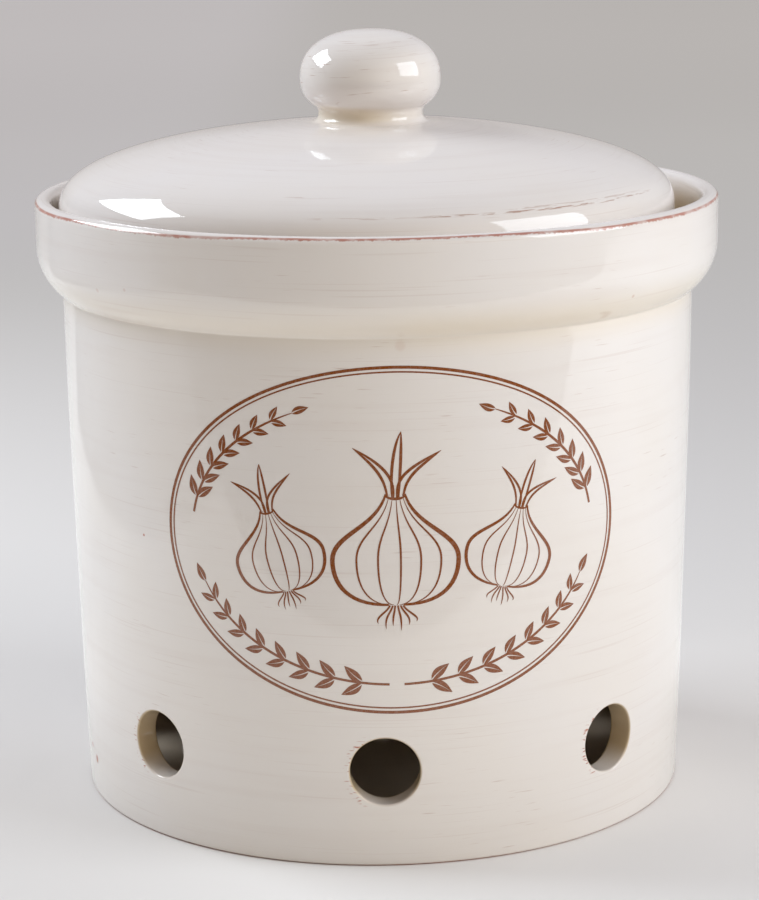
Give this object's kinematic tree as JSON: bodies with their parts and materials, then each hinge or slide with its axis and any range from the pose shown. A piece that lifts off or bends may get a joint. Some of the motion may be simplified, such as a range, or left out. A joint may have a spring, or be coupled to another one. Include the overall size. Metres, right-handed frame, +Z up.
{
  "type": "onion and garlic keeper",
  "caption": "Round glazed ceramic keeper with a thick collar, vent holes low in its wall, and a domed lift-off lid with a round knob that rests on a ledge inside the collar.",
  "frame": {"origin": "centre of the foot, on the surface that the crock stands on", "axes": "+Z up along the crock's axis, -Y towards the printed front, +X to the right seen from the front"},
  "size_m": [0.19, 0.19, 0.2119],
  "materials": {
    "crock_glaze": "glossy cream glaze over a pink-buff body, foot ring left bare",
    "lid_glaze": "glossy cream glaze over a pink-buff body, seat ring left bare",
    "print": "rust-brown ceramic transfer fired under a clear glaze"
  },
  "bodies": {
    "crock": {"crock": "crock_glaze"},
    "lid": {"lid": "lid_glaze"}
  },
  "joints": [
    {"name": "lid_lift", "type": "slide", "parent": "crock", "child": "lid", "axis": [0, 0, 1], "range_m": [0, 0.15]}
  ]
}
